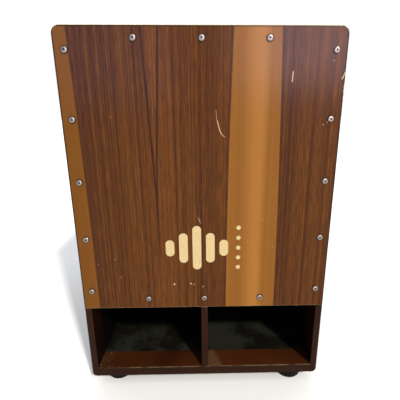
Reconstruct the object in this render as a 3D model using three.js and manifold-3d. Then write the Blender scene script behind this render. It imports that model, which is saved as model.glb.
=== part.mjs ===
// A bass cajon: a wooden box drum that the player sits on. A thin veneered plate is let into the upper
// front and screwed down, and its chamber breathes behind a shelf into two ports below the plate.
// Millimetres, +Z up, front towards -Y. The origin is on the floor, under the middle of the whole drum.
import * as THREE from "three";
import { mergeVertices } from "three/addons/utils/BufferGeometryUtils.js";
import Module from "manifold-3d";

// Box
const BODY_WIDTH = 346;
const BODY_HEIGHT = 493.5; // underside of the base to the seat
const BODY_DEPTH = 397.5; // without the screw heads
const SIDE_WALL = 10;
const SEAT_WALL = 10;
const BASE_WALL = 15;
const BACK_WALL = 8;
const SEAT_CORNER_RADIUS = 10;
const BASE_CORNER_RADIUS = 7;
const GLUE_LINE = 0.1; // between boards that are glued face to face

// Front plate and the ports under it
const PLATE_THICKNESS = 3.5;
const PLATE_HEIGHT = 373.5;
const PLATE_FOOT_RADIUS = 1.5; // its two lower corners
const PLATE_JOINT = 0.1; // the plate is only screwed on, in a rebate as deep as itself
const SHELF_WALL = 10;
const DIVIDER_WALL = 10;
const REAR_SLOT = 90; // the chamber opens into the ports behind the shelf

// Battens
const FRONT_BATTEN = 17;
const REAR_BATTEN = 17;

// Plate screws: a ring of them near the plate's edge
const SCREW_PAST_SIDE = 3.5; // screw axes, in from the side walls' inner faces
const SCREW_PAST_SEAT = 4; // screw axes under the seat board
const SCREW_PAST_SHELF = 5.5; // screw axes above the shelf
const SCREW_ROWS = 5;
const SCREW_ROW_TOP = 27; // highest row of the two sides, below the plate's top
const SCREW_ROW_FOOT = 28.5; // lowest row of the two sides, above the plate's foot
const SCREW_GAPS_ACROSS = 4;
const PLATE_SCREW = { headRadius: 3.9, headHeight: 2.3, shankRadius: 1.75, length: 17 };

// Feet
const FOOT_HEIGHT = 16;
const FOOT_TOP_RADIUS = 21;
const FOOT_FLOOR_RADIUS = 19.5;
const FOOT_EDGE_RADIUS = 3;
// Foot axes, in from the box's side and from its front or back. The front pair is not quite even.
const FOOT_INSETS = {
  front_left: { side: 35, end: 28 },
  front_right: { side: 38, end: 24 },
  rear_left: { side: 37, end: 26 },
  rear_right: { side: 37, end: 26 },
};
const FOOT_RECESS_RADIUS = 9;
const FOOT_RECESS_DEPTH = 8;
const WASHER_RADIUS = 7.5;
const WASHER_THICKNESS = 1.2;
const FOOT_SCREW = { headRadius: 4.5, headHeight: 2.6, shankRadius: 2.25, length: 18 };

// Snares: two fans of coiled wire on a rail, leaning on the plate's back
const RAIL_SIZE = 18;
const RAIL_BELOW_SEAT = 125; // rail axis under the top of the seat
const SNARE_OFFSET = 62; // each fan's middle, from the middle of the rail
const SNARE_STRANDS = 8;
const STRAND_PITCH = 3;
const STRAND_RADIUS = 1;
const SNARE_RISE = 85;
const CLIP_THICKNESS = 1;
const CLIP_HEIGHT = 12;
const CLIP_SIDE = 5; // clip past the outer strands
const END_BAR_HEIGHT = 4;
const SNARE_TOUCH_GAP = 0.3;
const SNARE_SCREW = { headRadius: 2.4, headHeight: 1.6, shankRadius: 1.25, length: 9 };
const SNARE_SCREW_EDGE = 4; // clip screws, in from the clip's ends

const SCREW_CLEARANCE = 0.3; // round a screw's shank, in every board it passes
const SEAT_GAP = 0.05; // under a screw head or a washer
const PILOT_EXTRA = 1; // a pilot hole runs this far past the screw's point

// Places worked out from the sizes
const bodyFoot = FOOT_HEIGHT;
const bodyTop = bodyFoot + BODY_HEIGHT;
const overallDepth = PLATE_SCREW.headHeight + SEAT_GAP + BODY_DEPTH;
const bodyFront = -overallDepth / 2 + PLATE_SCREW.headHeight + SEAT_GAP;
const bodyBack = bodyFront + BODY_DEPTH;
const plateFront = bodyFront; // flush with the port walls
const rebate = bodyFront + PLATE_THICKNESS + PLATE_JOINT; // front of what lies behind the plate
const innerHalf = BODY_WIDTH / 2 - SIDE_WALL;
const boardHalf = innerHalf - GLUE_LINE; // half of every board glued between the sides
const baseTop = bodyFoot + BASE_WALL;
const seatUnder = bodyTop - SEAT_WALL;
const plateFoot = bodyTop - PLATE_HEIGHT;
const shelfTop = plateFoot + SHELF_WALL;
const backInside = bodyBack - BACK_WALL;
const shelfBack = backInside - REAR_SLOT;

const veneer = new THREE.MeshStandardMaterial({ color: 0x6e3f22, roughness: 0.38, metalness: 0 });
const stainedBoard = new THREE.MeshStandardMaterial({ color: 0x3a1d13, roughness: 0.55, metalness: 0 });
const batten = new THREE.MeshStandardMaterial({ color: 0xc9a36d, roughness: 0.75, metalness: 0 });
const hardwood = new THREE.MeshStandardMaterial({ color: 0xb98a5a, roughness: 0.6, metalness: 0 });
const zinc = new THREE.MeshStandardMaterial({ color: 0xb9bcc0, roughness: 0.3, metalness: 1 });
const snareSteel = new THREE.MeshStandardMaterial({ color: 0xa9acb0, roughness: 0.25, metalness: 1 });
const rubber = new THREE.MeshStandardMaterial({ color: 0x121212, roughness: 0.85, metalness: 0 });

const cajon = new THREE.Group();
cajon.name = "cajon";

const wasm = await Module();
wasm.setup();

function solidOf(geometry) {
  const bare = geometry.clone();
  bare.deleteAttribute("normal");
  bare.deleteAttribute("uv");
  const merged = mergeVertices(bare, 1e-4);
  const vertProperties = new Float32Array(merged.attributes.position.array);
  const triVerts = new Uint32Array(merged.index.array);
  return new wasm.Manifold(new wasm.Mesh({ numProp: 3, vertProperties, triVerts }));
}

function geometryOf(solid) {
  const mesh = solid.getMesh();
  const geometry = new THREE.BufferGeometry();
  geometry.setAttribute("position", new THREE.BufferAttribute(mesh.vertProperties, 3));
  geometry.setIndex(new THREE.BufferAttribute(mesh.triVerts, 1));
  const flat = geometry.toNonIndexed();
  flat.computeVertexNormals();
  return flat;
}

function add(name, geometry, material, parent = cajon) {
  const mesh = new THREE.Mesh(geometry, material);
  mesh.name = name;
  parent.add(mesh);
  return mesh;
}

// A box from its lowest to its highest corner.
function boxBetween(low, high) {
  const size = high.map((h, i) => h - low[i]);
  const middle = high.map((h, i) => (h + low[i]) / 2);
  return new THREE.BoxGeometry(...size).translate(...middle);
}

// A shape drawn in X and Z, given thickness from yFront to yBack.
function slab(shape, yFront, yBack) {
  const options = { depth: yBack - yFront, bevelEnabled: false, curveSegments: 10 };
  return new THREE.ExtrudeGeometry(shape, options).rotateX(Math.PI / 2).translate(0, yBack, 0);
}

// A cylinder between two points, a little many-sided.
function rod(from, to, radius, sides) {
  const start = new THREE.Vector3(...from);
  const way = new THREE.Vector3(...to).sub(start);
  const turn = new THREE.Quaternion().setFromUnitVectors(
    new THREE.Vector3(0, 1, 0),
    way.clone().normalize(),
  );
  const geometry = new THREE.CylinderGeometry(radius, radius, way.length(), sides);
  return geometry.applyQuaternion(turn).translate(...start.addScaledVector(way, 0.5).toArray());
}

// Cuts holes or rebates out of a board.
function cutAway(geometry, cutters) {
  const cut = cutters.reduce((solid, cutter) => solid.subtract(solidOf(cutter)), solidOf(geometry));
  return geometryOf(cut);
}

// A cross-recessed pan-head screw. Its head sits above the plane z = 0 and its point is down.
function screwGeometry({ headRadius, headHeight, shankRadius, length }) {
  const rim = headHeight * 0.35;
  const crown = new THREE.EllipseCurve(0, rim, headRadius, headHeight - rim, 0, Math.PI / 2);
  const tip = shankRadius * 1.6;
  const profile = [
    new THREE.Vector2(0, -length),
    new THREE.Vector2(shankRadius, -length + tip),
    new THREE.Vector2(shankRadius, 0),
    new THREE.Vector2(headRadius, 0),
    ...crown.getPoints(4).slice(0, -1),
    new THREE.Vector2(0, headHeight),
  ];
  const turned = new THREE.LatheGeometry(profile, 18).rotateX(Math.PI / 2);
  const reach = headRadius * 1.15;
  const blade = headRadius * 0.22;
  const deep = headHeight * 0.6;
  const slot = new THREE.BoxGeometry(reach, blade, deep * 2).translate(0, 0, headHeight);
  const cross = slot.clone().rotateZ(Math.PI / 2);
  return geometryOf(solidOf(turned).subtract(solidOf(slot)).subtract(solidOf(cross)));
}

// ---- Box ----

// One side: full height, with its two outer corners rounded over the whole depth, and set back behind
// the plate.
function sidePanel(name, side) {
  const outer = BODY_WIDTH / 2;
  const seat = Math.min(SEAT_CORNER_RADIUS, SIDE_WALL);
  const base = Math.min(BASE_CORNER_RADIUS, SIDE_WALL);
  const shape = new THREE.Shape();
  shape.moveTo(innerHalf, bodyFoot);
  shape.absarc(outer - base, bodyFoot + base, base, -Math.PI / 2, 0, false);
  shape.absarc(outer - seat, bodyTop - seat, seat, 0, Math.PI / 2, false);
  shape.lineTo(innerHalf, bodyTop);
  const panel = slab(shape, bodyFront, bodyBack);
  if (side < 0) {
    panel.rotateZ(Math.PI).translate(0, bodyFront + bodyBack, 0);
  }
  const setBackLow = [-BODY_WIDTH, bodyFront - 1, plateFoot - PLATE_JOINT];
  const setBack = boxBetween(setBackLow, [BODY_WIDTH, rebate, bodyTop + 1]);
  add(name, cutAway(panel, [setBack]), stainedBoard);
}

const footAxes = Object.entries(FOOT_INSETS).map(([place, { side, end }]) => [
  place,
  (place.endsWith("left") ? -1 : 1) * (BODY_WIDTH / 2 - side),
  place.startsWith("front") ? bodyFront + end : bodyBack - end,
]);
const recessTop = FOOT_RECESS_DEPTH;
const washerUnder = recessTop - SEAT_GAP - WASHER_THICKNESS;
const footScrewSeat = washerUnder - SEAT_GAP;
const footShankHole = FOOT_SCREW.shankRadius + SCREW_CLEARANCE;

function boards() {
  sidePanel("side_panel_left", -1);
  sidePanel("side_panel_right", 1);

  const seat = boxBetween([-boardHalf, rebate, seatUnder], [boardHalf, bodyBack, bodyTop]);
  add("seat_panel", seat, stainedBoard);

  const base = boxBetween([-boardHalf, bodyFront, bodyFoot], [boardHalf, bodyBack, baseTop]);
  const pilotTop = footScrewSeat + FOOT_SCREW.length + PILOT_EXTRA;
  const pilots = footAxes.map(([, x, y]) =>
    rod([x, y, bodyFoot - 1], [x, y, pilotTop], footShankHole, 16),
  );
  add("base_panel", cutAway(base, pilots), stainedBoard);

  const backLow = [-boardHalf, backInside, baseTop + GLUE_LINE];
  const backHigh = [boardHalf, bodyBack, seatUnder - GLUE_LINE];
  add("back_panel", boxBetween(backLow, backHigh), stainedBoard);

  const shelf = boxBetween([-boardHalf, rebate, plateFoot], [boardHalf, shelfBack, shelfTop]);
  add("port_shelf", shelf, stainedBoard);

  const dividerLow = [-DIVIDER_WALL / 2, bodyFront, baseTop + GLUE_LINE];
  const dividerHigh = [DIVIDER_WALL / 2, shelfBack, plateFoot - GLUE_LINE];
  add("port_divider", boxBetween(dividerLow, dividerHigh), stainedBoard);
}

// ---- Front plate and its screws ----

function plateScrewPlaces() {
  const edge = innerHalf - SCREW_PAST_SIDE;
  const rowTop = bodyTop - SCREW_ROW_TOP;
  const rowFoot = plateFoot + SCREW_ROW_FOOT;
  const rowStep = (rowTop - rowFoot) / (SCREW_ROWS - 1);
  const acrossStep = (2 * edge) / SCREW_GAPS_ACROSS;
  const places = [];
  for (let row = 0; row < SCREW_ROWS; row++) {
    places.push([`plate_screw_left_${row + 1}`, -edge, rowTop - row * rowStep]);
    places.push([`plate_screw_right_${row + 1}`, edge, rowTop - row * rowStep]);
  }
  for (let k = 1; k < SCREW_GAPS_ACROSS; k++) {
    const x = -edge + k * acrossStep;
    places.push([`plate_screw_top_${k}`, x, seatUnder - SCREW_PAST_SEAT]);
    places.push([`plate_screw_bottom_${k}`, x, shelfTop + SCREW_PAST_SHELF]);
  }
  return places;
}

// The holes that the plate screws need, from in front of the plate to past their points.
function plateScrewHoles() {
  const radius = PLATE_SCREW.shankRadius + SCREW_CLEARANCE;
  const end = plateFront + PLATE_SCREW.length + PILOT_EXTRA;
  return plateScrewPlaces().map(([, x, z]) => ({
    x,
    z,
    hole: rod([x, plateFront - 1, z], [x, end, z], radius, 12),
  }));
}

function frontPlate() {
  const half = BODY_WIDTH / 2;
  const top = Math.min(SEAT_CORNER_RADIUS, SIDE_WALL);
  const foot = PLATE_FOOT_RADIUS;
  const shape = new THREE.Shape();
  shape.moveTo(-half + foot, plateFoot);
  shape.absarc(half - foot, plateFoot + foot, foot, -Math.PI / 2, 0, false);
  shape.absarc(half - top, bodyTop - top, top, 0, Math.PI / 2, false);
  shape.absarc(-half + top, bodyTop - top, top, Math.PI / 2, Math.PI, false);
  shape.absarc(-half + foot, plateFoot + foot, foot, Math.PI, 1.5 * Math.PI, false);
  const blank = slab(shape, plateFront, plateFront + PLATE_THICKNESS);
  const holes = plateScrewHoles().map(({ hole }) => hole);
  add("front_plate", cutAway(blank, holes), veneer);
}

function plateScrews() {
  const geometry = screwGeometry(PLATE_SCREW).rotateX(Math.PI / 2);
  for (const [name, x, z] of plateScrewPlaces()) {
    add(name, geometry, zinc).position.set(x, plateFront - SEAT_GAP, z);
  }
}

// ---- Battens ----

// A batten between two corners, drilled for every plate screw that meets it.
function frontBatten(name, low, high) {
  const holes = plateScrewHoles().filter(
    ({ x, z }) => x > low[0] && x < high[0] && z > low[2] && z < high[2],
  );
  const stick = boxBetween(low, high);
  add(name, cutAway(stick, holes.map(({ hole }) => hole)), batten);
}

function battens() {
  const frontInner = boardHalf - FRONT_BATTEN; // inner faces of the two upright front battens
  const frontFoot = shelfTop + GLUE_LINE;
  const frontTop = seatUnder - GLUE_LINE;
  const frontBack = rebate + FRONT_BATTEN;
  frontBatten("front_batten_left", [-boardHalf, rebate, frontFoot], [-frontInner, frontBack, frontTop]);
  frontBatten("front_batten_right", [frontInner, rebate, frontFoot], [boardHalf, frontBack, frontTop]);
  const across = frontInner - GLUE_LINE;
  const topLow = [-across, rebate, frontTop - FRONT_BATTEN];
  frontBatten("front_batten_top", topLow, [across, frontBack, frontTop]);
  const footHigh = [across, frontBack, frontFoot + FRONT_BATTEN];
  frontBatten("front_batten_bottom", [-across, rebate, frontFoot], footHigh);

  const rearInner = boardHalf - REAR_BATTEN;
  const rearBack = backInside - GLUE_LINE;
  const rearFront = rearBack - REAR_BATTEN;
  const rearFoot = baseTop + GLUE_LINE;
  const rearTop = seatUnder - GLUE_LINE;
  const rearAcross = rearInner - GLUE_LINE;
  const sticks = {
    rear_batten_left: [[-boardHalf, rearFront, rearFoot], [-rearInner, rearBack, rearTop]],
    rear_batten_right: [[rearInner, rearFront, rearFoot], [boardHalf, rearBack, rearTop]],
    rear_batten_top: [[-rearAcross, rearFront, rearTop - REAR_BATTEN], [rearAcross, rearBack, rearTop]],
    rear_batten_bottom: [[-rearAcross, rearFront, rearFoot], [rearAcross, rearBack, rearFoot + REAR_BATTEN]],
  };
  for (const [name, corners] of Object.entries(sticks)) {
    add(name, boxBetween(...corners), batten);
  }
}

// ---- Feet ----

function footGeometry() {
  const edge = FOOT_EDGE_RADIUS;
  const round = new THREE.EllipseCurve(FOOT_FLOOR_RADIUS - edge, edge, edge, edge, -Math.PI / 2, 0);
  const top = FOOT_HEIGHT - GLUE_LINE;
  const profile = [
    new THREE.Vector2(FOOT_RECESS_RADIUS, recessTop),
    new THREE.Vector2(FOOT_RECESS_RADIUS, 0),
    ...round.getPoints(5),
    new THREE.Vector2(FOOT_TOP_RADIUS, top),
    new THREE.Vector2(footShankHole, top),
    new THREE.Vector2(footShankHole, recessTop),
    new THREE.Vector2(FOOT_RECESS_RADIUS, recessTop),
  ];
  return new THREE.LatheGeometry(profile, 32).rotateX(Math.PI / 2);
}

function washerGeometry() {
  const high = washerUnder + WASHER_THICKNESS;
  const profile = [
    new THREE.Vector2(footShankHole, washerUnder),
    new THREE.Vector2(WASHER_RADIUS, washerUnder),
    new THREE.Vector2(WASHER_RADIUS, high),
    new THREE.Vector2(footShankHole, high),
    new THREE.Vector2(footShankHole, washerUnder),
  ];
  return new THREE.LatheGeometry(profile, 24).rotateX(Math.PI / 2);
}

function feet() {
  const foot = footGeometry();
  const washer = washerGeometry();
  const screw = screwGeometry(FOOT_SCREW).rotateX(Math.PI).translate(0, 0, footScrewSeat);
  for (const [place, x, y] of footAxes) {
    const corner = new THREE.Group();
    corner.position.set(x, y, 0);
    cajon.add(corner);
    add(`foot_${place}`, foot, rubber, corner);
    add(`foot_washer_${place}`, washer, zinc, corner);
    add(`foot_screw_${place}`, screw, zinc, corner);
  }
}

// ---- Snares ----

const railAxis = bodyTop - RAIL_BELOW_SEAT;
const railFront = rebate + FRONT_BATTEN + GLUE_LINE;
const clipHalf = ((SNARE_STRANDS - 1) * STRAND_PITCH) / 2 + CLIP_SIDE;
const snareScrewReach = clipHalf - SNARE_SCREW_EDGE + STRAND_RADIUS;
const snareScrewDrop = -CLIP_HEIGHT / 4; // below the strands' ends
const plateBack = plateFront + PLATE_THICKNESS;

function snareScrewPlaces() {
  return [-1, 1].flatMap((side) =>
    [-1, 1].map((end) => {
      const name = `snare_screw_${side < 0 ? "left" : "right"}_${end < 0 ? "1" : "2"}`;
      return { name, side, x: side * SNARE_OFFSET + end * snareScrewReach, z: railAxis + snareScrewDrop };
    }),
  );
}

function snareScrewHole({ x, z }) {
  const start = railFront - GLUE_LINE - CLIP_THICKNESS - 1;
  const end = railFront + SNARE_SCREW.length + PILOT_EXTRA;
  return rod([x, start, z], [x, end, z], SNARE_SCREW.shankRadius + SCREW_CLEARANCE, 12);
}

// Clip, strands and end bar are soldered together, so they are one piece.
function snareSet(name, side) {
  const middle = side * SNARE_OFFSET;
  const clipBack = railFront - GLUE_LINE;
  const clipFront = clipBack - CLIP_THICKNESS;
  const half = CLIP_HEIGHT / 2;
  const clipLow = [middle - clipHalf, clipFront, railAxis - half];
  const clipHigh = [middle + clipHalf, clipBack, railAxis + half];
  let solid = solidOf(boxBetween(clipLow, clipHigh));
  const strandFoot = railAxis + half - STRAND_RADIUS;
  const strandTop = strandFoot + SNARE_RISE;
  const lean = plateBack + SNARE_TOUCH_GAP + STRAND_RADIUS;
  const spread = clipHalf - CLIP_SIDE + STRAND_RADIUS;
  const barLow = [middle - spread - 1, lean - STRAND_RADIUS / 2, strandTop - END_BAR_HEIGHT];
  const barHigh = [middle + spread + 1, lean + STRAND_RADIUS, strandTop];
  solid = solid.add(solidOf(boxBetween(barLow, barHigh)));
  for (let k = 0; k < SNARE_STRANDS; k++) {
    const x = middle + (k - (SNARE_STRANDS - 1) / 2) * STRAND_PITCH;
    const low = [x, clipFront, strandFoot];
    const high = [x, lean, strandTop - END_BAR_HEIGHT / 2];
    solid = solid.add(solidOf(rod(low, high, STRAND_RADIUS, 6)));
  }
  for (const place of snareScrewPlaces().filter((p) => p.side === side)) {
    solid = solid.subtract(solidOf(snareScrewHole(place)));
  }
  add(name, geometryOf(solid), snareSteel);
}

function snares() {
  const half = RAIL_SIZE / 2;
  const railLow = [-boardHalf, railFront, railAxis - half];
  const railHigh = [boardHalf, railFront + RAIL_SIZE, railAxis + half];
  const rail = cutAway(boxBetween(railLow, railHigh), snareScrewPlaces().map(snareScrewHole));
  add("snare_rail", rail, hardwood);
  snareSet("snare_wires_left", -1);
  snareSet("snare_wires_right", 1);
  const geometry = screwGeometry(SNARE_SCREW).rotateX(Math.PI / 2);
  const seat = railFront - GLUE_LINE - CLIP_THICKNESS - SEAT_GAP;
  for (const { name, x, z } of snareScrewPlaces()) {
    add(name, geometry, zinc).position.set(x, seat, z);
  }
}

boards();
frontPlate();
plateScrews();
battens();
feet();
snares();

export default cajon;
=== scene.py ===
# The looks of a bass cajon: a stained box drum with a walnut-veneered plate screwed over its upper
# front and two bass ports under it. Metres, +Z up, the struck plate faces -Y.
import math

import bpy
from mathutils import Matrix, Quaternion, Vector


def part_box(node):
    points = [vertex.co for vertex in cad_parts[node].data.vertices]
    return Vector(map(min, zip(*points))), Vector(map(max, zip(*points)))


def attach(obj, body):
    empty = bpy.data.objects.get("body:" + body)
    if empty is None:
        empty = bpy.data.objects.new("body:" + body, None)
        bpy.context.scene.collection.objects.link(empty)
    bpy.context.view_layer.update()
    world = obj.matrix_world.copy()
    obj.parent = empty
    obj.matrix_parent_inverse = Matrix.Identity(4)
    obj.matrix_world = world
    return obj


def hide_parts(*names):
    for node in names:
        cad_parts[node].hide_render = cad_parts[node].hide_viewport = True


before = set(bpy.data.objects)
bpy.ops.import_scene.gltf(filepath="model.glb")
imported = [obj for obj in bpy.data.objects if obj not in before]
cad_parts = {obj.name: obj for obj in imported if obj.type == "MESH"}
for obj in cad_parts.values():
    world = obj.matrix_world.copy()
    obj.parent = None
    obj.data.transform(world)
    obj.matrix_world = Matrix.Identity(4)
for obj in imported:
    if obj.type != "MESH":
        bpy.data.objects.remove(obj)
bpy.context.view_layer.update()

MM = 0.001
BODY = "root"
SAME_PLACE = 0.02 * MM  # two values this near are the same place
MERGED = 0.001 * MM  # points this near are one

# ----------------------------------------
# Sizes that aren't in the frame
# ----------------------------------------

EASED = 1.1 * MM  # arrises of the stained boards
OUTER_ARRIS = 1.5 * MM  # the side walls' outer arrises are rounder
PLATE_EASED = 1.2 * MM
SEAT_CORNER = 10 * MM
BASE_CORNER = 7 * MM
PLATE_FOOT_CORNER = 1.5 * MM
GLUE_LINE = 0.1 * MM
FLAT_AREA = 100 * MM * MM  # larger faces keep their own flat shading
STAIN_REACH = 32 * MM  # the spray gun coloured the ports this far in

plate_low, plate_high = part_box("front_plate")
base_low, base_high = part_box("base_panel")
body_front = base_low.y
body_foot = base_low.z
half_width = plate_high.x
inner_half = base_high.x + GLUE_LINE
rebate_back = plate_high.y + GLUE_LINE


# ----------------------------------------
# Modelling by hand
# ----------------------------------------


def deselect_all():
    if bpy.context.object and bpy.context.object.mode != "OBJECT":
        bpy.ops.object.mode_set(mode="OBJECT")
    bpy.ops.object.select_all(action="DESELECT")


def select_only(piece):
    deselect_all()
    piece.select_set(True)
    bpy.context.view_layer.objects.active = piece


def named(name):
    piece = bpy.context.object
    piece.name = name
    piece.data.name = name
    return piece


def settle(piece):
    """Puts the piece's place, turn and scale into its mesh."""
    select_only(piece)
    bpy.ops.object.transform_apply(location=True, rotation=True, scale=True)
    return piece


def block(name, low, high):
    """A box from its lowest to its highest corner."""
    deselect_all()
    low, high = Vector(low), Vector(high)
    bpy.ops.mesh.primitive_cube_add(size=1, location=(low + high) / 2)
    piece = named(name)
    piece.scale = high - low
    return settle(piece)


def pick(piece, kind, test):
    """Goes into edit mode with only the vertices, edges or faces that pass the test selected."""
    select_only(piece)
    bpy.ops.object.mode_set(mode="EDIT")
    bpy.ops.mesh.select_mode(type=kind)
    bpy.ops.mesh.select_all(action="DESELECT")
    bpy.ops.object.mode_set(mode="OBJECT")
    mesh = piece.data
    items = {"VERT": mesh.vertices, "EDGE": mesh.edges, "FACE": mesh.polygons}[kind]
    for item in items:
        item.select = test(item)
    bpy.ops.object.mode_set(mode="EDIT")


def edge_ends(piece, edge):
    return [piece.data.vertices[i].co for i in edge.vertices]


def bevel_chosen(piece, width, segments, test):
    """Rounds the edges that pass the test."""
    pick(piece, "EDGE", test)
    bpy.ops.mesh.bevel(offset=width, segments=segments, profile=0.5, affect="EDGES")
    bpy.ops.object.mode_set(mode="OBJECT")
    return piece


def bevel_edges(piece, width, segments, test):
    """Rounds the edges whose two end points both pass the test."""
    return bevel_chosen(piece, width, segments, lambda edge: all(test(p) for p in edge_ends(piece, edge)))


def near(a, b):
    return abs(a - b) < SAME_PLACE


def at_any(value, places):
    return any(near(value, place) for place in places)


def apply_modifiers(piece):
    select_only(piece)
    for modifier in list(piece.modifiers):
        bpy.ops.object.modifier_apply(modifier=modifier.name)
    return piece


def cut_with(piece, cutter, operation="DIFFERENCE"):
    """Takes the cutter's shape out of the piece, or adds it, and throws the cutter away."""
    cut = piece.modifiers.new("cut", "BOOLEAN")
    cut.operation = operation
    cut.solver = "EXACT"
    cut.object = cutter
    apply_modifiers(piece)
    bpy.data.objects.remove(cutter)
    return piece


def copy_of(piece, name):
    twin = piece.copy()
    twin.data = piece.data.copy()
    twin.name = name
    twin.data.name = name
    bpy.context.scene.collection.objects.link(twin)
    return twin


def joined(name, parts):
    deselect_all()
    for part in parts:
        part.select_set(True)
    bpy.context.view_layer.objects.active = parts[0]
    bpy.ops.object.join()
    return named(name)


def outward(piece):
    """Merges doubled points and turns every face outwards."""
    pick(piece, "VERT", lambda vertex: True)
    bpy.ops.mesh.remove_doubles(threshold=MERGED)
    bpy.ops.mesh.normals_make_consistent(inside=False)
    bpy.ops.object.mode_set(mode="OBJECT")
    return piece


def turned(name, outline, steps, closed=False):
    """Spins an outline of (radius, height) points round the Z axis. It starts and ends on the axis,
    or is closed into a ring."""
    deselect_all()
    bpy.ops.mesh.primitive_plane_add(size=1 * MM, location=(0, 0, 0))
    piece = named(name)
    bpy.ops.object.mode_set(mode="EDIT")
    bpy.ops.mesh.select_mode(type="VERT")
    bpy.ops.mesh.select_all(action="SELECT")
    bpy.ops.mesh.merge(type="CENTER")
    radius, height = outline[0]
    bpy.ops.transform.translate(value=(radius, 0, height))
    for next_radius, next_height in outline[1:]:
        step = (next_radius - radius, 0, next_height - height)
        bpy.ops.mesh.extrude_region_move(TRANSFORM_OT_translate={"value": step})
        radius, height = next_radius, next_height
    if closed:
        step = (outline[0][0] - radius, 0, outline[0][1] - height)
        bpy.ops.mesh.extrude_region_move(TRANSFORM_OT_translate={"value": step})
    bpy.ops.mesh.select_all(action="SELECT")
    bpy.ops.mesh.remove_doubles(threshold=MERGED)
    bpy.ops.mesh.select_all(action="SELECT")
    bpy.ops.mesh.spin(steps=steps, angle=math.tau, center=(0, 0, 0), axis=(0, 0, 1))
    bpy.ops.object.mode_set(mode="OBJECT")
    return outward(piece)


def moved(piece, place, turn=(0, 0, 0)):
    piece.rotation_euler = turn
    piece.location = place
    return settle(piece)


def finished(piece, materials, nodes=(), crease=35, choose=None):
    """Gives the piece its materials, its body and the CAD nodes that it stands for. choose(face)
    gives the place of a face's material in the list."""
    piece.data.materials.clear()
    for material in materials:
        piece.data.materials.append(material)
    for face in piece.data.polygons:
        face.material_index = int(choose(face)) if choose else 0
    select_only(piece)
    bpy.ops.object.shade_smooth_by_angle(angle=math.radians(crease))
    for face in piece.data.polygons:
        if face.area > FLAT_AREA:
            face.use_smooth = False
    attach(piece, BODY)
    if nodes:
        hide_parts(*nodes)
    return piece


# ----------------------------------------
# Materials
# ----------------------------------------


def srgb(red, green, blue):
    """A colour as it is read on a screen, from 0 to 255, as a linear one."""

    def linear(level):
        level /= 255
        return level / 12.92 if level <= 0.04045 else ((level + 0.055) / 1.055) ** 2.4

    return (linear(red), linear(green), linear(blue), 1)


HEART_DARK = srgb(62, 29, 7)
HEART_DULL = srgb(77, 40, 9)
HEART_BRIGHT = srgb(90, 50, 12)
HEART_LIGHT = srgb(106, 60, 17)
HEART_LINE = srgb(130, 76, 27)
HEART_COOL = srgb(74, 39, 15)
GROWTH_LINE = srgb(50, 24, 14)
PORE = srgb(46, 24, 13)
STRIP_DULL = srgb(106, 62, 11)
STRIP_BRIGHT = srgb(117, 71, 16)
BAND_DULL = srgb(129, 80, 26)
BAND_BRIGHT = srgb(139, 89, 31)
STREAK_DULL = srgb(151, 98, 40)
STREAK_BRIGHT = srgb(162, 108, 47)
RAW_SCRATCH = srgb(226, 190, 150)
STAIN_DEEP = srgb(34, 15, 4)
STAIN = srgb(46, 22, 7)
STAIN_RUBBED = srgb(70, 42, 24)
# Painted shade: a near-black stain for faces in shade, on outer arrises and inside the ports.
STAIN_IN_SHADE = srgb(7, 4, 2)
# Painted light: the port floors get a lighter copy of the outer stain.
PAINTED_LIT_FLOOR_STAIN = srgb(76, 37, 15)
BARE_FIBREBOARD = srgb(134, 112, 82)
BLACKED = srgb(17, 15, 9)
BLACKED_DUSTY = srgb(38, 39, 32)
BLACKED_IN_SHADE = srgb(6, 6, 5)


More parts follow.
